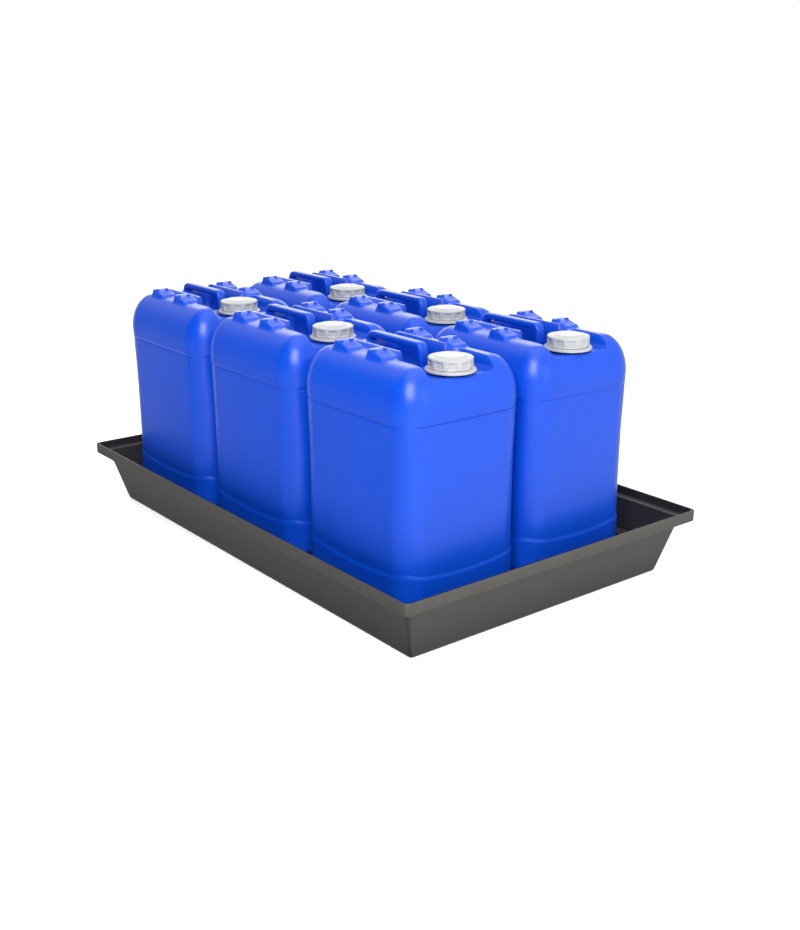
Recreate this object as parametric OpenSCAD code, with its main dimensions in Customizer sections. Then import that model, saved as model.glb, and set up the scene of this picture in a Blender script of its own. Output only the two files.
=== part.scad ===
// Spill containment pallet: a moulded sump tray with a lift-out grating,
// loaded with six jerrycans that each lift off and each have a screw cap.
// Millimetres. X runs along the long side, Y along the short side, Z is up.
// The origin is the centre of the tray's underside.

/* [Jerrycans] */
// Length of one can, along X
can_l = 290; // [240:5:360]
// Width of one can, along Y
can_w = 245; // [200:5:300]
// Height of one can, from its base to the top of its handle
can_h = 400; // [340:5:480]
// Wall of a blow-moulded can
can_wall = 2.4; // [1.6:0.2:4]
// Radius of the can's upright corners
can_corner_r = 44; // [30:1:60]
// Radius of the can's shoulder, where its sides turn over into its top
shoulder_r = 50; // [36:1:54]
// How far the side panels lie back from the bands above and below them
panel_depth = 1.6; // [0.8:0.2:3]
// Height of the band around the can's foot
foot_band_h = 56; // [40:1:80]
// Height of the upper band, from the panels' top edge to the shoulder ridges
upper_band_h = 92; // [80:1:110]

/* [Can top] */
// How far the handle's top stands above the shoulder ridges
handle_rise = 10; // [6:1:16]
// Width of the handle bar
handle_w = 18; // [16:1:30]
// Thickness of the handle bar
handle_t = 12; // [10:1:20]
// Thickness of the post at the handle's front end
post_t = 12; // [8:1:20]
// Distance from the can's rear end to the finger hollow under the handle
hollow_back = 60; // [54:1:80]
// Width of the finger hollow
hollow_w = 78; // [60:1:90]
// Depth of the finger hollow below the shoulder ridges
hollow_depth = 44; // [34:1:54]
// Width of the recess that the cap stands in
recess_w = 126; // [110:1:136]
// Depth of the cap recess below the shoulder ridges
recess_depth = 25; // [22:1:32]
// Radius of the cap recess's inner corners
recess_r = 26; // [12:1:34]
// Height of a stacking pad above the shoulder ridges
pad_h = 6; // [3:1:9]
// Length of a stacking pad, from its crest to the foot of its slope
pad_l = 40; // [30:1:60]
// Length of the level crest at a pad's rear end
pad_crest = 8; // [4:1:14]
// Width of a stacking pad
pad_w = 30; // [20:1:34]
// Distance between two pads along X
pad_pitch = 88; // [70:1:100]
// Distance from the finger hollow to a pad
pad_inset = 20; // [12:1:26]
// Diameter of a pad's nub
nub_d = 7; // [5:0.5:9]

/* [Neck and cap] */
// Outer diameter of the neck, over its thread
neck_d = 60; // [52:0.5:66]
// Wall of the neck
neck_wall = 4.5; // [3:0.5:7]
// Distance from the tamper ring to the can's front end
ring_edge = 6; // [3:1:12]
// Height of the neck above the floor of the recess
neck_h = 22; // [18:1:24]
// Height of the collar that the tamper ring sits on
collar_h = 3; // [2:0.5:5]
// Radial gap between the neck and the cap's skirt
skirt_gap = 0.4; // [0.3:0.05:0.8]
// Wall of the cap's skirt, without its grip ribs
skirt_wall = 2.7; // [2:0.1:4]
// Thickness of the cap's crown
crown_t = 3; // [2:0.5:4]
// How far the grip ribs stand out of the skirt
rib_h = 2.2; // [1:0.1:3]
// Number of grip ribs
rib_n = 10; // [8:1:24]
// Height of the tamper ring
ring_h = 5; // [4:0.5:6]
// Wall of the tamper ring
ring_wall = 9.6; // [5:0.2:11]
// Distance from the tamper ring to the handle's post
post_gap = 22; // [18:1:30]
// Thickness of the gasket
gasket_t = 2; // [1:0.5:3]
// Gap left around the gasket, and between the ring and the cap
seal_gap = 0.3; // [0.2:0.05:0.5]

/* [Load] */
// Gap between neighbouring cans along X
can_gap_x = 21; // [8:1:40]
// Gap between neighbouring cans along Y
can_gap_y = 11; // [6:1:40]
// Free deck beyond the cans at each end
end_margin = 26; // [10:1:60]
// Free deck beyond the cans at each side
side_margin = 36.5; // [26:0.5:80]
// How far the cans stand off centre, towards -Y
load_shift = 24; // [0:1:24]

/* [Tray] */
// Height of the tray's rim
tray_h = 120; // [105:1:180]
// Wall of the tray
tray_wall = 4.5; // [3:0.5:7]
// Outward run of the tray's sloping wall for each unit of height
wall_lean = 0.27; // [0.1:0.01:0.4]
// Width of the ledge under the rim, outside the sloping wall
ledge_w = 20; // [14:0.5:36]
// Height of the upright lip around the ledge
lip_h = 16; // [10:0.5:24]
// Width of the bead along the ledge's inner edge
bead_w = 5; // [3:0.5:7]
// Height of that bead above the ledge
bead_h = 2; // [1:0.5:3]

/* [Grating] */
// Height of the grating's top, which the cans stand on
deck_z = 55; // [45:1:80]
// Thickness of the grating
deck_t = 14; // [8:1:20]
// Gap around the grating, at its lower edge
deck_gap = 3; // [2:0.5:6]
// Width of the grating's solid border
border_w = 24; // [16:1:40]
// Width of one slot
slot_w = 10; // [6:1:14]
// Width of one slat between slots
slat_w = 12; // [8:1:20]
// Width of the solid strip over each runner
strip_w = 20; // [14:1:30]
// Number of runners under the grating
runner_n = 5; // [3:1:7]
// Thickness of a runner
runner_t = 8; // [5:1:12]
// How far a runner's ends lie inside the grating's edge
runner_inset = 22; // [18:1:40]
// Height of the drain windows through the runners
drain_h = 18; // [8:1:24]
// Length of one drain window
drain_l = 90; // [40:5:120]

/* [Hidden] */
$fn = 64;
EPS = 0.01;
CUT = 1;
NUB_EDGE = 1;
COLS = 3;
ROWS = 2;

CAN_BLUE = "#1a55e0";
TRAY_BLACK = "#4b4a46";
CAP_WHITE = "#eeeeeb";
SEAL_GREY = "#d8d8d2";

// The grating is sized by the cans, and the tray by the grating.
deck_l = COLS * can_l + (COLS - 1) * can_gap_x + 2 * end_margin;
deck_w = ROWS * can_w + (ROWS - 1) * can_gap_y + 2 * side_margin;
deck_under = deck_z - deck_t;
ledge_z = tray_h - lip_h;
inner_half_l = deck_l / 2 + deck_gap - wall_lean * deck_under;
inner_half_w = deck_w / 2 + deck_gap - wall_lean * deck_under;
foot_half_l = inner_half_l + tray_wall;
foot_half_w = inner_half_w + tray_wall;
ledge_under = ledge_z - tray_wall;
rim_half_l = foot_half_l + wall_lean * ledge_under + ledge_w;
rim_half_w = foot_half_w + wall_lean * ledge_under + ledge_w;

// Heights on one can, from its own base.
ridge_z = can_h - handle_rise;
panel_top_z = ridge_z - upper_band_h;
hollow_z = ridge_z - hollow_depth;
recess_z = ridge_z - recess_depth;
neck_top_z = recess_z + neck_h;
neck_bore_d = neck_d - 2 * neck_wall;
cap_bore_d = neck_d + 2 * skirt_gap;
ring_r = cap_bore_d / 2 + ring_wall;
neck_x = can_l / 2 - ring_edge - ring_r;
// The cap's recess starts at the handle's post, where the finger hollow ends.
recess_x0 = neck_x - ring_r - post_gap;
hollow_x0 = hollow_back - can_l / 2;
hollow_l = recess_x0 - hollow_x0;
pad_y = hollow_w / 2 + pad_inset + pad_w / 2;
// The pads stand evenly about the middle of the finger hollow.
pad_mid_x = (hollow_x0 + recess_x0) / 2;
nub_pitch = pad_w - nub_d - 2 * NUB_EDGE;

cap_d = cap_bore_d + 2 * skirt_wall;
ring_z = recess_z + collar_h;
cap_z = ring_z + ring_h + seal_gap;
gasket_z = neck_top_z + seal_gap;
cap_inside_z = gasket_z + gasket_t + seal_gap;

// Cans 1 to 3 stand along the -Y side from -X to +X, cans 4 to 6 behind them.
function can_col(i) = (i - 1) % COLS;
function can_row(i) = floor((i - 1) / COLS);
function can_pos(i) = [
    (can_col(i) - (COLS - 1) / 2) * (can_l + can_gap_x),
    (can_row(i) - (ROWS - 1) / 2) * (can_w + can_gap_y) - load_shift,
    deck_z
];

// Solid with sloping sides: half sizes at the bottom, and a run per unit height.
module sloping_block(half_l, half_w, h, lean) {
    run = lean * h;
    intersection() {
        translate([0, half_w + run + CUT, 0]) rotate([90, 0, 0])
            linear_extrude(2 * (half_w + run + CUT))
                polygon([[-half_l, 0], [half_l, 0], [half_l + run, h], [-half_l - run, h]]);
        translate([-half_l - run - CUT, 0, 0]) rotate([90, 0, 90])
            linear_extrude(2 * (half_l + run + CUT))
                polygon([[-half_w, 0], [half_w, 0], [half_w + run, h], [-half_w - run, h]]);
    }
}

module centred_block(l, w, h) {
    translate([-l / 2, -w / 2, 0]) cube([l, w, h]);
}

// Flat rounded rectangle with true arcs at its corners.
module rounded_plan(l, w, r) {
    square([l - 2 * r, w], center = true);
    square([l, w - 2 * r], center = true);
    for (x = [-1, 1], y = [-1, 1])
        translate([x * (l / 2 - r), y * (w / 2 - r)]) circle(r);
}

// Upright outline with two rounded top corners.
module arch_profile(w, h, r) {
    translate([-w / 2, 0]) square([w, h - r]);
    translate([-w / 2 + r, 0]) square([w - 2 * r, h]);
    for (x = [-1, 1]) translate([x * (w / 2 - r), h - r]) circle(r);
}

// Straight-sided part of the can, drawn in by an inset, from z0 up to z1.
module can_band(inset, z0, z1) {
    translate([0, 0, z0]) linear_extrude(z1 - z0)
        rounded_plan(can_l - 2 * inset, can_w - 2 * inset, can_corner_r - inset);
}

// The can without its top fittings, drawn in by an even inset: a foot band,
// side panels that are set back, and an upper band that turns over into the shoulders.
module can_form(inset) {
    can_band(inset, inset, foot_band_h - inset);
    can_band(inset + panel_depth, inset, panel_top_z + inset + CUT);
    intersection() {
        can_band(inset, panel_top_z + inset, ridge_z - inset);
        translate([0, can_w, 0]) rotate([90, 0, 0]) linear_extrude(2 * can_w)
            arch_profile(can_l - 2 * inset, ridge_z - inset, shoulder_r - inset);
        translate([-can_l, 0, 0]) rotate([90, 0, 90]) linear_extrude(2 * can_l)
            arch_profile(can_w - 2 * inset, ridge_z - inset, shoulder_r - inset);
    }
}

// Finger hollow and cap recess, grown by the wall where the inside is cut clear of them.
module top_hollows(grow) {
    translate([hollow_x0 - grow, -hollow_w / 2 - grow, hollow_z - grow])
        cube([hollow_l + 2 * grow, hollow_w + 2 * grow, can_h]);
    translate([0, 0, recess_z - grow]) linear_extrude(can_h) {
        translate([recess_x0 - grow, -recess_w / 2 + recess_r]) square([can_l, recess_w - 2 * recess_r]);
        translate([recess_x0 + recess_r, -recess_w / 2 - grow]) square([can_l, recess_w + 2 * grow]);
        for (y = [-1, 1])
            translate([recess_x0 + recess_r, y * (recess_w / 2 - recess_r)]) circle(recess_r + grow);
    }
}

// Handle: a bar over the hollow, with a post down to the step beside the neck.
module handle() {
    bar_x0 = hollow_x0 - handle_w;
    bar_z = can_h - handle_t;
    translate([bar_x0, -handle_w / 2, bar_z]) cube([hollow_l + handle_w, handle_w, handle_t]);
    translate([recess_x0 - post_t, -handle_w / 2, hollow_z]) cube([post_t, handle_w, can_h - hollow_z]);
}

// Two pads on each side of the handle, rooted in the shoulder: wedges that slope
// down towards the neck, each with two nubs side by side on the slope.
module stacking_pads() {
    root = shoulder_r / 3;
    crest_z = root + pad_h;
    for (x = [-1, 1], y = [-1, 1])
        translate([pad_mid_x + x * pad_pitch / 2, y * pad_y, ridge_z - root]) {
            translate([0, pad_w / 2, 0]) rotate([90, 0, 0]) linear_extrude(pad_w)
                polygon([[-pad_l / 2, 0], [pad_l / 2, 0], [pad_l / 2, root],
                         [pad_crest - pad_l / 2, crest_z], [-pad_l / 2, crest_z]]);
            for (n = [-1, 1])
                translate([0, n * nub_pitch / 2, 0]) cylinder(d = nub_d, h = crest_z - EPS);
        }
}

module can_body(i) {
    color(CAN_BLUE) translate(can_pos(i)) difference() {
        union() {
            difference() {
                can_form(0);
                top_hollows(0);
            }
            handle();
            stacking_pads();
            translate([neck_x, 0, recess_z - CUT]) {
                cylinder(d = neck_d, h = neck_h + CUT);
                cylinder(d = neck_d + ring_wall, h = collar_h + CUT);
            }
        }
        difference() {
            can_form(can_wall);
            top_hollows(can_wall);
        }
        translate([neck_x, 0, recess_z - 2 * can_wall]) cylinder(d = neck_bore_d, h = neck_h + 3 * can_wall);
    }
}

module tamper_ring(i) {
    color(CAP_WHITE) translate(can_pos(i) + [neck_x, 0, ring_z]) difference() {
        cylinder(r = ring_r, h = ring_h);
        translate([0, 0, -CUT]) cylinder(d = cap_bore_d, h = ring_h + 2 * CUT);
    }
}

module gasket(i) {
    color(SEAL_GREY) translate(can_pos(i) + [neck_x, 0, gasket_z])
        cylinder(d = cap_bore_d - 2 * seal_gap, h = gasket_t);
}

module cap(i) {
    skirt_h = cap_inside_z - cap_z;
    color(CAP_WHITE) translate(can_pos(i) + [neck_x, 0, cap_z]) difference() {
        union() {
            cylinder(d = cap_d, h = skirt_h + crown_t);
            for (k = [0:rib_n - 1]) rotate([0, 0, k * 360 / rib_n])
                grip_rib(skirt_h + crown_t / 2);
        }
        translate([0, 0, -CUT]) cylinder(d = cap_bore_d, h = skirt_h + CUT);
    }
}

// One grip rib, standing out of the skirt along +X, with flutes between it and the next.
module grip_rib(h) {
    rib_w = PI * cap_d / (2 * rib_n);
    translate([cap_d / 2 - CUT, -rib_w / 2, 0]) cube([rib_h + CUT, rib_w, h]);
}

module spill_tray() {
    lip_inner_l = rim_half_l - tray_wall;
    lip_inner_w = rim_half_w - tray_wall;
    bead_outer_l = inner_half_l + wall_lean * ledge_z + bead_w;
    bead_outer_w = inner_half_w + wall_lean * ledge_z + bead_w;
    floor_run = wall_lean * tray_wall;
    color(TRAY_BLACK) difference() {
        union() {
            sloping_block(foot_half_l, foot_half_w, ledge_under, wall_lean);
            translate([0, 0, ledge_under])
                centred_block(2 * rim_half_l, 2 * rim_half_w, tray_h - ledge_under);
        }
        // The sump, from the floor up past the ledge.
        translate([0, 0, tray_wall]) sloping_block(
            inner_half_l + floor_run, inner_half_w + floor_run,
            ledge_z + bead_h - tray_wall + EPS, wall_lean);
        // The space inside the lip, above the bead.
        translate([0, 0, ledge_z + bead_h])
            centred_block(2 * lip_inner_l, 2 * lip_inner_w, lip_h);
        // The ledge, between the bead and the lip.
        translate([0, 0, ledge_z]) difference() {
            centred_block(2 * lip_inner_l, 2 * lip_inner_w, bead_h + EPS);
            translate([0, 0, -CUT])
                centred_block(2 * bead_outer_l, 2 * bead_outer_w, bead_h + 2 * CUT);
        }
    }
}

module deck_grating() {
    field_l = deck_l - 2 * border_w;
    pitch = slot_w + slat_w;
    slots = floor((field_l + slat_w) / pitch);
    bays = runner_n - 1;
    runner_pitch = (deck_w - 2 * border_w + strip_w) / bays;
    slot_l = runner_pitch - strip_w;
    runner_l = deck_l - 2 * runner_inset;
    drain_pitch = (runner_l - 2 * border_w) / COLS;
    color(TRAY_BLACK) {
        translate([0, 0, deck_under]) linear_extrude(deck_t) difference() {
            square([deck_l, deck_w], center = true);
            for (s = [0:slots - 1], b = [0:bays - 1])
                translate([(s - (slots - 1) / 2) * pitch, (b - (bays - 1) / 2) * runner_pitch])
                    square([slot_w, slot_l], center = true);
        }
        difference() {
            for (n = [0:runner_n - 1])
                translate([0, (n - (runner_n - 1) / 2) * runner_pitch, tray_wall])
                    centred_block(runner_l, runner_t, deck_under - tray_wall);
            for (d = [0:COLS - 1])
                translate([(d - (COLS - 1) / 2) * drain_pitch, 0, tray_wall - CUT])
                    centred_block(drain_l, deck_w, drain_h + CUT);
        }
    }
}

spill_tray();
deck_grating();
can_body(1);  // can_1_body
tamper_ring(1);  // can_1_tamper_ring
gasket(1);  // can_1_gasket
cap(1);  // can_1_cap
can_body(2);  // can_2_body
tamper_ring(2);  // can_2_tamper_ring
gasket(2);  // can_2_gasket
cap(2);  // can_2_cap
can_body(3);  // can_3_body
tamper_ring(3);  // can_3_tamper_ring
gasket(3);  // can_3_gasket
cap(3);  // can_3_cap
can_body(4);  // can_4_body
tamper_ring(4);  // can_4_tamper_ring
gasket(4);  // can_4_gasket
cap(4);  // can_4_cap
can_body(5);  // can_5_body
tamper_ring(5);  // can_5_tamper_ring
gasket(5);  // can_5_gasket
cap(5);  // can_5_cap
can_body(6);  // can_6_body
tamper_ring(6);  // can_6_tamper_ring
gasket(6);  // can_6_gasket
cap(6);  // can_6_cap
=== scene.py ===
import math

import bpy
import numpy as np
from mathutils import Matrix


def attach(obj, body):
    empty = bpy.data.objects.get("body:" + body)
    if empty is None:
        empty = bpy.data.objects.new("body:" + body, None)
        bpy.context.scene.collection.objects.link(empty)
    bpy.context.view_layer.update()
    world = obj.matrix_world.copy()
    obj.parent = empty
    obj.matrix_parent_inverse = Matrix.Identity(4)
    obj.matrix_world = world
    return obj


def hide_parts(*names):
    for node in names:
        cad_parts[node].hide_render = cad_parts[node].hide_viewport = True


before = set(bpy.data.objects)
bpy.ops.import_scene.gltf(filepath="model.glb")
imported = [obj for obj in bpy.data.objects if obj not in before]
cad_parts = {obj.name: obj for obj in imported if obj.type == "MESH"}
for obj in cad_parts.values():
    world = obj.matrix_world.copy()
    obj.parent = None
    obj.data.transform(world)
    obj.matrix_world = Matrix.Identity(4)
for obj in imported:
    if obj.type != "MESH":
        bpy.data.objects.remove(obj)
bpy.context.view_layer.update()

# ---------------------------------------------------------------------------
# Camera
# A standing person's view of the pallet from beyond its near corner, looking
# down a little, with the long side running away to the left.
# ---------------------------------------------------------------------------
CAMERA_AT = (1.7657, -1.3221, 0.8436)
CAMERA_AZIMUTH = 51.68
CAMERA_ELEVATION = 18.59

eye = bpy.data.cameras.new("camera")
eye.lens = 46.26
eye.shift_y = 0.0185
eye.clip_end = 200.0
camera = bpy.data.objects.new("camera", eye)
camera.location = CAMERA_AT
camera.rotation_euler = (
    math.radians(90 - CAMERA_ELEVATION), 0, math.radians(CAMERA_AZIMUTH))
bpy.context.scene.collection.objects.link(camera)
bpy.context.scene.camera = camera


# ---------------------------------------------------------------------------
# Studio floor
# A pale matt studio floor, wide enough to run to the horizon. It is lit
# from within a little, so that it stays white away from the lamps.
# ---------------------------------------------------------------------------
FLOOR_HALF = 60.0


def linear(colour):
    """An sRGB hex colour as linear RGBA: c / 12.92 up to 0.04045, and above
    it (c + 0.055) / 1.055 to the power 2.4."""
    c = np.array([int(colour[i:i + 2], 16) for i in (1, 3, 5)]) / 255
    c = np.where(c <= 0.04045, c / 12.92, ((c + 0.055) / 1.055) ** 2.4)
    return (*c.tolist(), 1.0)


def add(tree, kind, inputs=None, **settings):
    """Adds a node to a tree. Settings are its attributes; inputs are values
    for its sockets, or the sockets that feed them."""
    made = tree.nodes.new(kind)
    for key, value in settings.items():
        setattr(made, key, value)
    for key, value in (inputs or {}).items():
        if isinstance(value, bpy.types.NodeSocket):
            tree.links.new(value, made.inputs[key])
        else:
            made.inputs[key].default_value = value
    return made


def new_material(name):
    """A material with an empty tree and its output node."""
    material = bpy.data.materials.new(name)
    material.use_nodes = True
    material.node_tree.nodes.clear()
    out = add(material.node_tree, "ShaderNodeOutputMaterial")
    return material, material.node_tree, out


def build(name, points, faces, material):
    """A smooth-shaded mesh object from points in millimetres and faces, put
    at the origin with its place in its mesh."""
    mesh = bpy.data.meshes.new(name)
    mesh.from_pydata((np.asarray(points) / 1000).tolist(), [], faces)
    mesh.shade_smooth()
    mesh.materials.append(material)
    made = bpy.data.objects.new(name, mesh)
    bpy.context.scene.collection.objects.link(made)
    return made


floor_paint, tree, out = new_material("white_matt_floor_paint")
matt = add(tree, "ShaderNodeBsdfDiffuse", {"Color": linear("#f2f2f2")})
glow = add(tree, "ShaderNodeEmission", {"Strength": 0.42})
lit = add(tree, "ShaderNodeAddShader", {0: matt.outputs[0], 1: glow.outputs[0]})
tree.links.new(lit.outputs[0], out.inputs["Surface"])

corner = FLOOR_HALF * 1000
studio_floor = build(
    "studio_floor",
    [(-corner, -corner, 0), (corner, -corner, 0),
     (corner, corner, 0), (-corner, corner, 0)],
    [(0, 1, 2, 3)], floor_paint)
studio_floor.visible_glossy = False


# ---------------------------------------------------------------------------
# Studio light
# Soft boxes overhead, beside the +X end, behind and in front, in a white
# room. The gloss of the plastic sees the room and not the floor, so a dark
# screen on the -Y side keeps its colour deep there.
# ---------------------------------------------------------------------------
def soft_box(name, at, towards, size, power):
    """A rectangular area light at a point, facing another point."""
    lamp = bpy.data.lights.new(name, "AREA")
    lamp.shape = "RECTANGLE"
    lamp.size, lamp.size_y = size
    lamp.energy = power
    made = bpy.data.objects.new(name, lamp)
    away = np.array(at) - np.array(towards)
    flat = math.hypot(away[0], away[1])
    made.location = at
    made.rotation_euler = (
        math.atan2(flat, away[2]), 0, math.atan2(away[0], -away[1]) if flat > 1e-6 else 0)
    bpy.context.scene.collection.objects.link(made)
    return made


soft_box("overhead_box", (0.3, 0.2, 3.2), (0, 0, 0.2), (3.0, 2.4), 24)
soft_box("side_box", (3.4, 0.9, 1.5), (0, 0, 0.25), (2.2, 1.8), 14)
soft_box("front_box", (1.86, -1.75, 2.2), (0.35, -0.2, 0.38), (1.5, 1.8), 102)
rear_box = soft_box("rear_box", (-2.6, 2.1, 1.55), (0, 0, 0.45), (3.2, 2.0), 42)
rear_box.visible_camera = False
SCREEN_WAY = math.radians(255)

world = bpy.data.worlds.new("white_room")
world.use_nodes = True
world.node_tree.nodes.clear()
room = world.node_tree
look = add(room, "ShaderNodeTexCoord").outputs["Generated"]
level = add(room, "ShaderNodeVectorMath", {0: look, 1: (1, 1, 0)}, operation="MULTIPLY")
level = add(room, "ShaderNodeVectorMath", {0: level.outputs[0]}, operation="NORMALIZE")
facing = add(room, "ShaderNodeVectorMath", {
    0: level.outputs[0], 1: (math.cos(SCREEN_WAY), math.sin(SCREEN_WAY), 0)},
    operation="DOT_PRODUCT")
screen = add(room, "ShaderNodeMapRange", {
    "Value": facing.outputs["Value"], "From Min": 0.54, "From Max": 0.69},
    interpolation_type="SMOOTHSTEP")
height = add(room, "ShaderNodeSeparateXYZ", {0: look})
low = add(room, "ShaderNodeMapRange", {
    "Value": height.outputs["Z"], "From Min": 0.96, "From Max": 0.78},
    interpolation_type="SMOOTHSTEP")
both = add(room, "ShaderNodeMath", {0: screen.outputs[0], 1: low.outputs[0]},
           operation="MULTIPLY")
wall = add(room, "ShaderNodeMix", {
    0: both.outputs[0], 6: linear("#ffffff"), 7: linear("#1c1c20")}, data_type="RGBA")
sky = add(room, "ShaderNodeBackground", {"Color": wall.outputs[2], "Strength": 0.86})
# The backdrop itself is plain white: the screen only shows as a reflection.
backdrop = add(room, "ShaderNodeBackground", {"Color": linear("#ffffff"), "Strength": 1.02})
path = add(room, "ShaderNodeLightPath")
seen = add(room, "ShaderNodeMixShader", {
    0: path.outputs["Is Camera Ray"], 1: sky.outputs[0], 2: backdrop.outputs[0]})
add(room, "ShaderNodeOutputWorld", {"Surface": seen.outputs[0]})
bpy.context.scene.world = world
bpy.context.scene.view_settings.view_transform = "Standard"


# ---------------------------------------------------------------------------
# Spill tray
# The sump: one shell of black polyethylene with a leaning wall, a flat
# ledge and an upright lip. It is moulded in one piece, with soft corners.
# ---------------------------------------------------------------------------
FOOT_HALF = (478.43, 283.43)
WALL = 4.5
LEAN = 0.27
LEDGE_TOP = 104.0
RIM_TOP = 120.0
RIM_OUT = 46.865
BEAD_WIDE, BEAD_HIGH = 5.0, 2.0
FOOT_CORNER = 5.0
CORNER_STEPS = 8


def soft_path(corners, steps=5, support=1.5):
    """A path through corners (across, up, radius). Each corner becomes the
    curve (1-s)^2 A + 2s(1-s) C + s^2 B, from its own radius before the
    corner C to its radius after it, with a point just outside each end so
    that the flats stay flat. The first and last corners are plain ends."""
    corners = np.array(corners, float)
    place, radius = corners[:, :2], corners[:, 2]
    s = np.linspace(0, 1, steps + 1)[:, None]
    parts = [place[:1]]
    for k in range(1, len(corners) - 1):
        back, on = place[k - 1] - place[k], place[k + 1] - place[k]
        back_l, on_l = np.hypot(*back), np.hypot(*on)
        a, b = back / back_l * radius[k], on / on_l * radius[k]
        near = min(support, 0.3 * back_l - 0.3 * radius[k]) if back_l > radius[k] else 0
        far = min(support, 0.3 * on_l - 0.3 * radius[k]) if on_l > radius[k] else 0
        arc = place[k] + (1 - s) ** 2 * a + s ** 2 * b
        parts += [place[k] + a + back / back_l * max(near, 0.02), arc,
                  place[k] + b + on / on_l * max(far, 0.02)]
    parts.append(place[-1:])
    return np.vstack([np.atleast_2d(p) for p in parts])


def rounded_rings(half_l, half_w, radius, steps, support=3.0):
    """Rounded rectangles, one for each entry of the arrays. A point is its
    corner's centre plus radius times (cos, sin), and each corner has one
    point more along the side before and after it."""
    quarter = np.linspace(0, math.pi / 2, steps + 1)
    angle = np.concatenate([np.concatenate([[0], quarter, [math.pi / 2]]) + k * math.pi / 2
                            for k in range(4)])
    slide = np.tile(np.concatenate([[-support], np.zeros(steps + 1), [support]]), 4)
    mid = np.repeat((np.arange(4) + 0.5) * math.pi / 2, steps + 3)
    sign_x, sign_y = np.sign(np.cos(mid)), np.sign(np.sin(mid))
    half_l, half_w, radius = (np.asarray(v, float)[:, None] for v in (half_l, half_w, radius))
    x = sign_x * (half_l - radius) + radius * np.cos(angle) - slide * np.sin(angle)
    y = sign_y * (half_w - radius) + radius * np.sin(angle) + slide * np.cos(angle)
    return x, y


def ring_faces(rows, cols, start=0, close_first=True, close_last=True):
    """Faces of rows of rings with cols points each, the ring turning
    anticlockwise and the rows climbing, so the faces point outwards. The
    first and last rings may be closed with one flat face each."""
    row, col = np.meshgrid(np.arange(rows - 1), np.arange(cols), indexing="ij")
    on = (col + 1) % cols
    quads = np.stack([row * cols + col, row * cols + on,
                      (row + 1) * cols + on, (row + 1) * cols + col], -1).reshape(-1, 4)
    faces = (quads + start).tolist()
    if close_first:
        faces.append((start + np.arange(cols)[::-1]).tolist())
    if close_last:
        faces.append((start + (rows - 1) * cols + np.arange(cols)).tolist())
    return faces


def polyethylene(name, deep, pale, roughness, specular, grain, mottle, dent, depth):
    """Moulded polyethylene. The colour drifts between deep and pale over
    patches of mottle millimetres, and the skin has a fine grain over softer
    dents, both as bump; the gloss drifts with the dents. Grain and dent are
    sizes in millimetres, and depth is how deep the dents are."""
    material, tree, out = new_material(name)
    where = add(tree, "ShaderNodeTexCoord").outputs["Object"]
    patch = add(tree, "ShaderNodeTexNoise", {
        "Vector": where, "Scale": 1000 / mottle, "Detail": 4.0, "Roughness": 0.6})
    fine = add(tree, "ShaderNodeTexNoise", {
        "Vector": where, "Scale": 1000 / grain, "Detail": 2.0, "Roughness": 0.5})
    slow = add(tree, "ShaderNodeTexNoise", {
        "Vector": where, "Scale": 1000 / dent, "Detail": 1.0, "Roughness": 0.4})
    colour = add(tree, "ShaderNodeMix", {
        0: patch.outputs["Fac"], 6: linear(deep), 7: linear(pale)}, data_type="RGBA")
    gloss = add(tree, "ShaderNodeMapRange", {
        "Value": slow.outputs["Fac"], "To Min": roughness - 0.03, "To Max": roughness + 0.03})
    soft = add(tree, "ShaderNodeBump", {
        "Height": slow.outputs["Fac"], "Strength": 0.35, "Distance": depth / 1000})
    skin = add(tree, "ShaderNodeBump", {
        "Height": fine.outputs["Fac"], "Strength": 0.30, "Distance": 0.0001,
        "Normal": soft.outputs["Normal"]})
    shade = add(tree, "ShaderNodeBsdfPrincipled", {
        "Base Color": colour.outputs[2], "Roughness": gloss.outputs["Result"],
        "Normal": skin.outputs["Normal"], "IOR": 1.51, "Specular IOR Level": specular})
    tree.links.new(shade.outputs[0], out.inputs["Surface"])
    return material, tree, shade


# Black moulded polyethylene is dull, with a fine grain over soft dents.
black_pe, tree, shade = polyethylene(
    "black_polyethylene_moulded", "#1b1a1a", "#252322", 0.5, 0.46, 2.2, 60, 25, 0.6)

# Handling has greyed the outside in streaks. The grey is painted stronger towards
# the rim, so the foot stays darker as painted shade. The inside, whose faces look
# back at the middle, is kept dark as painted shade.
place = add(tree, "ShaderNodeTexCoord")
where = place.outputs["Object"]
outward = add(tree, "ShaderNodeVectorMath", {0: where, 1: place.outputs["Normal"]},
              operation="DOT_PRODUCT")
outside = add(tree, "ShaderNodeMapRange", {
    "Value": outward.outputs["Value"], "From Min": 0.0, "From Max": 0.06})
height = add(tree, "ShaderNodeSeparateXYZ", {0: where})
drawn_out = add(tree, "ShaderNodeVectorMath", {0: where, 1: (140, 140, 6)},
                operation="MULTIPLY")
streak = add(tree, "ShaderNodeTexNoise", {
    "Vector": drawn_out.outputs[0], "Scale": 1.0, "Detail": 3.0, "Roughness": 0.6})
wiped = add(tree, "ShaderNodeMapRange", {
    "Value": streak.outputs["Fac"], "To Min": 0.36, "To Max": 0.64})
# Height over the rim: the grey fades towards the foot, as painted shade there.
level = add(tree, "ShaderNodeMath", {0: height.outputs["Z"], 1: RIM_TOP / 1000},
            operation="DIVIDE")
wear_and_shade_mask = add(tree, "ShaderNodeMath", {0: level.outputs[0], 1: wiped.outputs[0]},
            operation="MULTIPLY")
wear_and_shade_mask = add(tree, "ShaderNodeMath", {0: wear_and_shade_mask.outputs[0], 1: outside.outputs[0]},
            operation="MULTIPLY")
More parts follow.
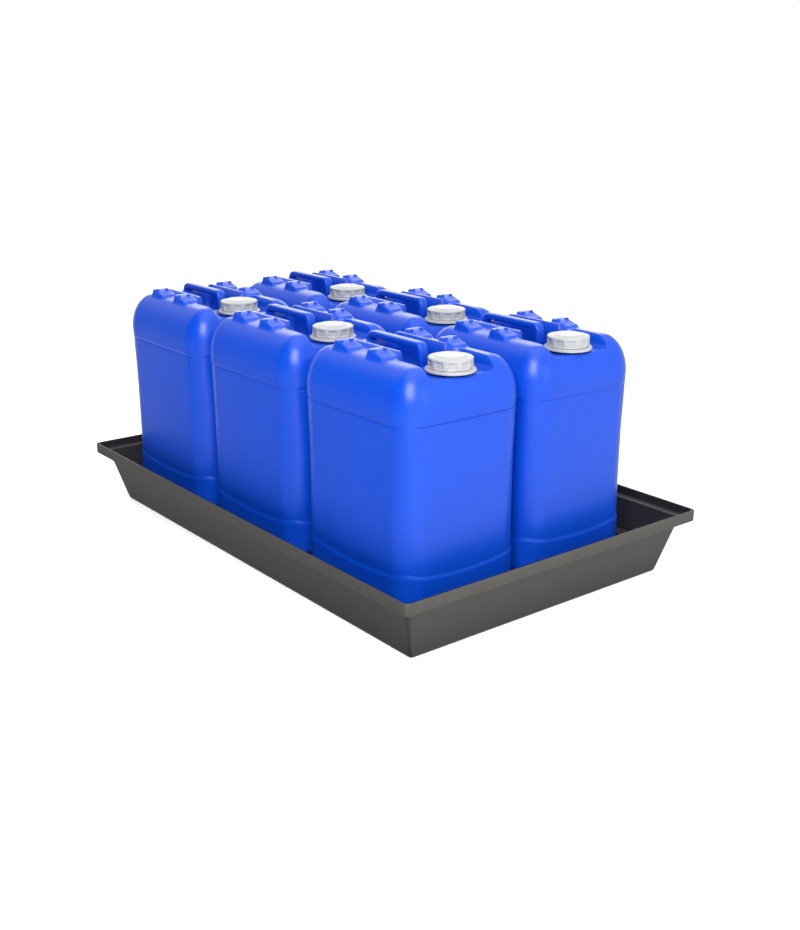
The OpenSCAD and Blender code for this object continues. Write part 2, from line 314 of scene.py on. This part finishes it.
# The lighter grey over the base: streaky wear, with painted shade at the foot and inside.
wear_and_painted_shade = add(tree, "ShaderNodeMix", {0: wear_and_shade_mask.outputs[0], 7: linear("#5b5853")},
           data_type="RGBA")
tree.links.new(shade.inputs["Base Color"].links[0].from_socket, wear_and_painted_shade.inputs[6])
tree.links.new(wear_and_painted_shade.outputs[2], shade.inputs["Base Color"])

inner_edge = LEAN * LEDGE_TOP - WALL
profile = soft_path([
    (-60, 0, 0), (0, 0, 5), (LEAN * (LEDGE_TOP - WALL), LEDGE_TOP - WALL, 4),
    (RIM_OUT, LEDGE_TOP - WALL, 3), (RIM_OUT, RIM_TOP, 1.8),
    (RIM_OUT - WALL, RIM_TOP, 1.8), (RIM_OUT - WALL, LEDGE_TOP, 3),
    (inner_edge + BEAD_WIDE, LEDGE_TOP, 0.9),
    (inner_edge + BEAD_WIDE, LEDGE_TOP + BEAD_HIGH, 0.8),
    (inner_edge + LEAN * BEAD_HIGH, LEDGE_TOP + BEAD_HIGH, 0.9),
    (LEAN * WALL - WALL, WALL, 9), (-90, WALL, 0)])
across, up = profile.T
tray_x, tray_y = rounded_rings(
    FOOT_HALF[0] + across, FOOT_HALF[1] + across, np.maximum(FOOT_CORNER + 0.1 * across, 2.0),
    CORNER_STEPS)
points = np.stack([tray_x, tray_y, np.broadcast_to(up[:, None], tray_x.shape)], -1)
sump = build("sump_shell", points.reshape(-1, 3),
             ring_faces(*tray_x.shape), black_pe)
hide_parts("spill_tray")
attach(sump, "tray")


# ---------------------------------------------------------------------------
# Deck grating
# The lift-out floor that the cans stand on: slotted black polyethylene on
# five runners, cut and welded from sheet, so its edges stay crisp.
# ---------------------------------------------------------------------------
# The sheet has a finer grain than the sump and shines a little less.
sheet_pe, tree, shade = polyethylene(
    "black_polyethylene_sheet", "#1c1b1b", "#262523", 0.5, 0.4, 1.8, 45, 18, 0.4)
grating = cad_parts["deck_grating"]
grating.data.materials.clear()
grating.data.materials.append(sheet_pe)


# ---------------------------------------------------------------------------
# Jerrycan bodies
# Six cans of blue high density polyethylene, each blown in one piece with
# its handle, its stacking pads and its threaded neck.
# ---------------------------------------------------------------------------
CAN_HALF = (145.0, 122.5)
CAN_CORNER = 44.0
PITCH = (311.0, 256.0)
LOAD_SHIFT = 24.0
DECK_TOP = 55.0
SHOULDER_FOOT = 319.0
SHOULDER_WIDE, SHOULDER_TALL = 46.0, 65.0
CROWN = 6.0
PAD_TOP, RIB_TOP = 396.0, 392.5
PAD_MIDS, PAD_HALF, PAD_SIDE, PAD_FALL = (-68.0, 20.0), (21.0, 16.0), 72.0, 9.0
RIB_MID, RIB_HALF = (-24.0, 46.0), (70.0, 8.0)
NUB_APART, NUB_LIFT = 10.0, 6.0
FOOT_FILLET = 12.0
BAND_TOP, BAND_BOW = 53.0, 13.0
UPPER_GROOVE = 300.0
PANEL_DEPTH, PANEL_BULGE, GROOVE_DEPTH = 1.6, 1.6, 1.6
HOLLOW = (-85.0, 37.0, 39.0, 346.0)
RECESS = (37.0, 63.0, 26.0, 365.0)
HANDLE_WIDE, HANDLE_THICK, HANDLE_TOP = 18.0, 12.0, 400.0
NECK_X, NECK_TOP, NECK_OUT, NECK_BORE = 99.0, 387.0, 28.6, 25.5
COLLAR_OUT, COLLAR_TOP = 33.8, 368.0
THREAD_PITCH = 6.0


def inside(x, y, mid, half, radius):
    """How far a point lies inside a rounded rectangle: the radius less its
    distance from the rectangle drawn in by that radius."""
    qx = np.abs(x - mid[0]) - (half[0] - radius)
    qy = np.abs(y - mid[1]) - (half[1] - radius)
    return radius - np.hypot(np.maximum(qx, 0), np.maximum(qy, 0)) - np.minimum(
        np.maximum(qx, qy), 0)


def ease(t):
    """The S curve 3 t^2 - 2 t^3, held between 0 and 1."""
    t = np.clip(t, 0, 1)
    return t * t * (3 - 2 * t)


def soft_min(a, b, k):
    """The lower of two heights, rounded over where they are within k."""
    h = np.clip(0.5 + 0.5 * (b - a) / k, 0, 1)
    return b + (a - b) * h - k * h * (1 - h)


def can_top_height(x, y):
    """The top seen from above. The shoulder is a quarter ellipse over the
    distance from the outline, with a light crown. On each side of the handle
    a rib runs along the hollow, with two wedges outside it that fall away
    towards the neck. The finger hollow and the cap's recess are sunk where
    their own outlines say."""
    d = inside(x, y, (0, 0), CAN_HALF, CAN_CORNER)
    near = np.clip(d / SHOULDER_WIDE, 0, 1)
    z = SHOULDER_FOOT + SHOULDER_TALL * np.sqrt(1 - (1 - near) ** 2)
    z = z + CROWN * ease((d - SHOULDER_WIDE) / 50)
    side = np.abs(y)
    rib = inside(x, side, RIB_MID, RIB_HALF, 7)
    z = z + (RIB_TOP - z) * ease((rib + 4) / 9)
    for mid in PAD_MIDS:
        wedge = inside(x, side, (mid, PAD_SIDE), PAD_HALF, 7)
        crest = PAD_TOP - PAD_FALL * ease((x - mid + PAD_HALF[0] - 6) / (2 * PAD_HALF[0]))
        z = z + np.maximum(crest - z, 0) * ease((wedge + 3.5) / 6)
    far_end = 260.0
    x0, half_w, radius, floor = RECESS
    cut = inside(x, y, ((x0 + far_end) / 2, 0), ((far_end - x0) / 2, half_w), radius)
    z = soft_min(z, floor + 70 * ease(-cut / 9), 3.5)
    x0, x1, half_w, floor = HOLLOW
    cut = inside(x, y, ((x0 + x1) / 2, 0), ((x1 - x0) / 2, half_w), 9)
    return soft_min(z, floor + 90 * ease(-cut / 10), 3.5)


def can_shell():
    """The can without its handle and neck, as one closed grid. Its top is a
    net of lines over the plan, with the corner squares drawn in to quarter
    circles; its side is rings that follow the net's edge, drawn in by the
    panels and their grooves; its base is flat, with a raised middle."""
    fine = 1.7
    start = SHOULDER_WIDE * (1 - np.cos(np.radians(np.linspace(0, 42, 11))))
    lines = []
    for half in CAN_HALF:
        reach = half - start[-1]
        mid = np.linspace(-reach, reach, int(2 * reach / fine) + 1)
        lines.append(np.concatenate([start[:-1] - half, mid, half - start[:-1][::-1]]))
    net_x, net_y = np.meshgrid(lines[0], lines[1], indexing="ij")
    core = np.array(CAN_HALF) - CAN_CORNER
    u = np.clip((np.abs(net_x) - core[0]) / CAN_CORNER, 0, 1)
    v = np.clip((np.abs(net_y) - core[1]) / CAN_CORNER, 0, 1)
    x = np.sign(net_x) * (np.minimum(np.abs(net_x), core[0])
                          + CAN_CORNER * u * np.sqrt(1 - v * v / 2))
    y = np.sign(net_y) * (np.minimum(np.abs(net_y), core[1])
                          + CAN_CORNER * v * np.sqrt(1 - u * u / 2))
    top = np.stack([x, y, can_top_height(x, y)], -1)
    nx, ny = x.shape
    index = np.arange(nx * ny).reshape(nx, ny)
    edge = np.concatenate([index[:-1, 0], index[-1, :-1], index[:0:-1, -1], index[0, :0:-1]])
    a, b = index[:-1, :-1], index[1:, :-1]
    c, e = index[1:, 1:], index[:-1, 1:]
    faces = np.stack([a, b, c, e], -1).reshape(-1, 4).tolist()

    rim = top.reshape(-1, 3)[edge, :2]
    toward = rim - np.clip(rim, -core, core)
    out_way = toward / np.linalg.norm(toward, axis=1)[:, None]
    along = np.min(np.abs(rim) / np.array(CAN_HALF), axis=1)
    levels = np.concatenate([
        FOOT_FILLET * (1 - np.cos(np.radians(np.linspace(0, 90, 7)))),
        np.linspace(FOOT_FILLET, BAND_TOP - 5, 5)[1:],
        np.linspace(BAND_TOP - 5, BAND_TOP + 6, 12)[1:],
        np.linspace(BAND_TOP + 6, UPPER_GROOVE - 7, 16)[1:],
        np.linspace(UPPER_GROOVE - 7, UPPER_GROOVE + 7, 15)[1:],
        np.linspace(UPPER_GROOVE + 7, SHOULDER_FOOT, 4)[1:-1]])[:, None]
    bow = np.interp(levels, [FOOT_FILLET, BAND_TOP, 220], [0, 1, 0])
    z = levels + BAND_BOW * bow * along ** 2
    panel = (ease((levels - BAND_TOP + 4) / 8)
             * (1 - ease((levels - UPPER_GROOVE + 2) / 4)))
    fade = 1 - ease((along - 0.74) / 0.14)
    groove = np.exp(-((levels - UPPER_GROOVE) / 2.2) ** 2) * fade
    belly = np.interp(levels, [0, BAND_TOP, 110, 240, UPPER_GROOVE, SHOULDER_FOOT],
                      [0, 0.4, 1, 1, 0.5, 0])
    draw = (PANEL_DEPTH * panel * (1 - 0.9 * ease((levels - 200) / 90) * (1 - fade))
            + GROOVE_DEPTH * groove + PANEL_BULGE * belly * along ** 2)
    draw = draw + np.where(levels < FOOT_FILLET, FOOT_FILLET - np.sqrt(
        np.maximum(FOOT_FILLET ** 2 - (FOOT_FILLET - levels) ** 2, 0)), 0)
    ring_xy = rim[None] - draw[..., None] * out_way[None]
    side = np.concatenate([ring_xy, z[..., None]], -1)
    base_draw = np.array([24.0, 34.0])[:, None, None]
    base_xy = rim[None] - base_draw * out_way[None]
    base_z = np.broadcast_to(np.array([0.4, 3.5])[:, None, None], (2, len(edge), 1))
    base = np.concatenate([base_xy, base_z], -1)[::-1]
    rings = np.concatenate([base, side])
    rows, cols = rings.shape[:2]
    first = nx * ny
    faces += ring_faces(rows, cols, first, close_last=False)
    last = first + (rows - 1) * cols + np.arange(cols)
    step = np.roll(np.arange(cols), -1)
    faces += np.stack([last, last[step], edge[step], edge], -1).tolist()
    return np.vstack([top.reshape(-1, 3), rings.reshape(-1, 3)]), faces


def lathe(profile, turn_steps, ripple=None):
    """A profile (radius, height) turned about the Z axis. ripple(angle,
    radius, height) may add to the radius. Points at radius 0 close the ends."""
    radius, height = np.array(profile, float).T
    angle = np.linspace(0, 2 * math.pi, turn_steps, endpoint=False)
    r = np.broadcast_to(radius[:, None], (len(radius), turn_steps)).copy()
    if ripple is not None:
        r += ripple(angle[None], radius[:, None], height[:, None])
    z = np.broadcast_to(height[:, None], r.shape)
    points = np.stack([r * np.cos(angle), r * np.sin(angle), z], -1)
    return points.reshape(-1, 3), (len(radius), turn_steps)


def handle_bar():
    """A rounded oblong carried along the handle's path: out of the crown
    behind the hollow, level over it, then down in front as the post."""
    middle = HANDLE_TOP - HANDLE_THICK / 2
    path = soft_path(
        [(-107, 368, 0), (-98, middle, 9), (29, middle, 8), (35.5, 344, 0)], 8, 4)
    step = np.gradient(path, axis=0)
    step /= np.linalg.norm(step, axis=1)[:, None]
    across = np.stack([-step[:, 1], step[:, 0]], -1)
    turn = np.linspace(0, 2 * math.pi, 28, endpoint=False)
    power = 0.6
    wide = HANDLE_WIDE / 2 * np.sign(np.cos(turn)) * np.abs(np.cos(turn)) ** power
    thick = HANDLE_THICK / 2 * np.sign(np.sin(turn)) * np.abs(np.sin(turn)) ** power
    x = path[:, :1] + across[:, :1] * thick
    z = path[:, 1:] + across[:, 1:] * thick
    y = np.broadcast_to(wide, x.shape)
    points = np.stack([x, y, z], -1)
    return points.reshape(-1, 3), x.shape


# A blown skin is waxy: a broad soft shine over very shallow unevenness.
blue_pe, tree, shade = polyethylene(
    "blue_polyethylene_blown", "#033fb5", "#0645c0", 0.32, 0.40, 2.4, 90, 60, 0.12)

shell_points, shell_faces = can_shell()
bar_points, bar_shape = handle_bar()
neck_profile = soft_path([
    (20, 352, 0), (COLLAR_OUT, 352, 1), (COLLAR_OUT, COLLAR_TOP, 1.0),
    (NECK_OUT, COLLAR_TOP, 0.8), (NECK_OUT, NECK_TOP - 0.5, 1.0),
    (NECK_BORE, NECK_TOP, 0.8), (NECK_BORE, 356, 0)], 3, 0.8)
THREAD_FOOT, THREAD_TOP = 369.5, 385.5
thread_rows = np.linspace(THREAD_FOOT, THREAD_TOP, 41)
split = int(np.argmax(neck_profile[:, 0] < NECK_OUT + 0.1))
neck_profile = np.vstack([
    neck_profile[:split + 1],
    np.stack([np.full(len(thread_rows), NECK_OUT), thread_rows], -1),
    neck_profile[split + 1:][neck_profile[split + 1:, 1] > THREAD_TOP + 0.1],
    [(NECK_BORE, 356)]])


def thread(angle, radius, height):
    """A ridge that climbs one pitch a turn: the cosine bump of the height
    left over a whole pitch, faded in and out at the neck's two ends."""
    phase = (height / THREAD_PITCH - angle / (2 * math.pi)) * 2 * math.pi
    ridge = np.clip(np.cos(phase) - 0.2, 0, 1) * 1.6
    reach = (ease((height - THREAD_FOOT) / 2.5)
             * (1 - ease((height - THREAD_TOP + 2.5) / 2.5)))
    return ridge * reach * (np.abs(radius - NECK_OUT) < 0.05)


neck_points, neck_shape = lathe(neck_profile, 72, thread)
nub_points, nub_shape = lathe(
    [(3.5, 380), (3.5, 389.6), (3.2, 390.6), (2.2, 391.2), (0.4, 391.4)], 14)
nub_at = np.array([(mid - 5, s * PAD_SIDE + n, NUB_LIFT) for mid in PAD_MIDS
                   for n in (-NUB_APART, NUB_APART) for s in (-1, 1)])


def can_place(number):
    """Where a can stands: cans 1 to 3 along the -Y side from -X to +X, and
    cans 4 to 6 behind them, all shifted a little towards -Y."""
    column, row = (number - 1) % 3, (number - 1) // 3
    return np.array([(column - 1) * PITCH[0], (row - 0.5) * PITCH[1] - LOAD_SHIFT, DECK_TOP])


def join(parts):
    """One list of points and faces from several (points, faces) pairs."""
    points, faces, start = [], [], 0
    for part_points, part_faces in parts:
        points.append(part_points)
        faces += [[start + i for i in face] for face in part_faces]
        start += len(part_points)
    return np.vstack(points), faces


can_parts = [(shell_points, shell_faces),
             (bar_points, [f[::-1] for f in ring_faces(*bar_shape)]),
             (neck_points + (NECK_X, 0, 0), ring_faces(*neck_shape))]
can_parts += [(nub_points + at, ring_faces(*nub_shape)) for at in nub_at]
can_points, can_faces = join(can_parts)
for number in range(1, 7):
    can = build(f"jerrycan_{number}_body", can_points + can_place(number), can_faces, blue_pe)
    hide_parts(f"can_{number}_body")
    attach(can, f"can_{number}")


# ---------------------------------------------------------------------------
# Caps and tamper rings
# Natural white polyethylene: a screw cap with broad grip ribs and a raised
# crown, and the ring under it that stays on the neck.
# ---------------------------------------------------------------------------
CAP_FOOT, CAP_CROWN = 373.3, 392.6
CAP_BORE, CAP_SKIRT, CAP_RIB = 30.4, 33.1, 2.2
CAP_ROOF, SKIRT_TOP = 389.6, 387.2
RIB_COUNT = 10
RING_FOOT, RING_TOP, RING_OUT, RING_BORE = 368.0, 373.0, 40.0, 30.6

# Natural polyethylene lets a little light in, which softens its edges.
white_pe, tree, shade = polyethylene(
    "natural_polyethylene_moulded", "#9fa0a2", "#abacad", 0.42, 0.4, 1.4, 30, 14, 0.4)
shade.inputs["Subsurface Weight"].default_value = 0.15
shade.inputs["Subsurface Radius"].default_value = (1.0, 0.9, 0.8)
shade.inputs["Subsurface Scale"].default_value = 0.003

grip = CAP_SKIRT + CAP_RIB
cap_profile = soft_path([
    (0.02, CAP_ROOF, 0), (CAP_BORE, CAP_ROOF, 0.8), (CAP_BORE, CAP_FOOT, 0.6),
    (grip, CAP_FOOT, 0.7), (grip, CAP_ROOF, 1.8), (24.2, CAP_CROWN - 0.6, 0.8),
    (23.6, CAP_CROWN, 0.4), (0.02, CAP_CROWN, 0)], 5, 1.2)
side_rows = np.linspace(CAP_FOOT + 1.0, SKIRT_TOP, 24)
lower = cap_profile[:np.argmax(cap_profile[:, 0] > grip - 0.01) + 1]
upper = cap_profile[len(lower):]
upper = upper[(upper[:, 1] > SKIRT_TOP + 0.1) | (upper[:, 0] < grip - 0.5)]
cap_profile = np.vstack([
    lower, np.stack([np.full(len(side_rows), grip), side_rows], -1), upper])


def grip_windows(angle, radius, height):
    """Broad windows between the ribs: a squared-off cosine round the cap,
    faded out under the crown and above the foot, only on the outside."""
    wave = np.cos(RIB_COUNT * angle)
    window = ease((wave + 0.42) / 0.34)
    reach = ease((height - CAP_FOOT - 1.4) / 1.6) * (1 - ease((height - 384.0) / 3.0))
    return -CAP_RIB * window * reach * (radius > grip - 0.4)


cap_points, cap_shape = lathe(cap_profile, 240, grip_windows)
ring_profile = soft_path([
    (RING_BORE, 370.5, 0), (RING_BORE, RING_FOOT, 0.5), (RING_OUT, RING_FOOT, 1.0),
    (RING_OUT, RING_TOP - 1.2, 1.2), (RING_OUT - 3.2, RING_TOP, 0.8),
    (RING_BORE, RING_TOP, 0.5), (RING_BORE, 370.5, 0)], 4, 0.8)
ring_points, ring_shape = lathe(ring_profile[:-1], 120)


def torus_faces(rows, cols):
    """Faces of rings that close on themselves in both directions."""
    faces = ring_faces(rows, cols, 0, False, False)
    a = (rows - 1) * cols + np.arange(cols)
    b = np.arange(cols)
    return faces + np.stack([a, np.roll(a, -1), np.roll(b, -1), b], -1).tolist()


for number in range(1, 7):
    at = can_place(number) + (NECK_X, 0, 0)
    cap = build(f"screw_cap_{number}", cap_points + at, ring_faces(*cap_shape), white_pe)
    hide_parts(f"can_{number}_cap")
    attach(cap, f"can_{number}_closure")
    ring = build(f"tamper_ring_{number}", ring_points + at, torus_faces(*ring_shape), white_pe)
    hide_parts(f"can_{number}_tamper_ring")
    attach(ring, f"can_{number}")


# ---------------------------------------------------------------------------
# Gaskets
# A disc of foamed polyethylene in each cap, pressed on the neck's lip. It
# keeps the shape it has in the frame and rises with the cap.
# ---------------------------------------------------------------------------
# The foam is quite matt, with a pebbled skin of cells about 1 mm across.
foam, tree, out = new_material("polyethylene_foam_liner")
where = add(tree, "ShaderNodeTexCoord").outputs["Object"]
cells = add(tree, "ShaderNodeTexVoronoi", {"Vector": where, "Scale": 900.0})
tone = add(tree, "ShaderNodeMix", {
    0: cells.outputs["Distance"], 6: linear("#dededa"), 7: linear("#c9c9c3")}, data_type="RGBA")
cell_bump = add(tree, "ShaderNodeBump", {
    "Height": cells.outputs["Distance"], "Strength": 0.4, "Distance": 0.0003})
shade = add(tree, "ShaderNodeBsdfPrincipled", {
    "Base Color": tone.outputs[2], "Roughness": 0.8, "Normal": cell_bump.outputs["Normal"]})
tree.links.new(shade.outputs[0], out.inputs["Surface"])
for number in range(1, 7):
    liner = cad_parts[f"can_{number}_gasket"]
    liner.data.materials.clear()
    liner.data.materials.append(foam)
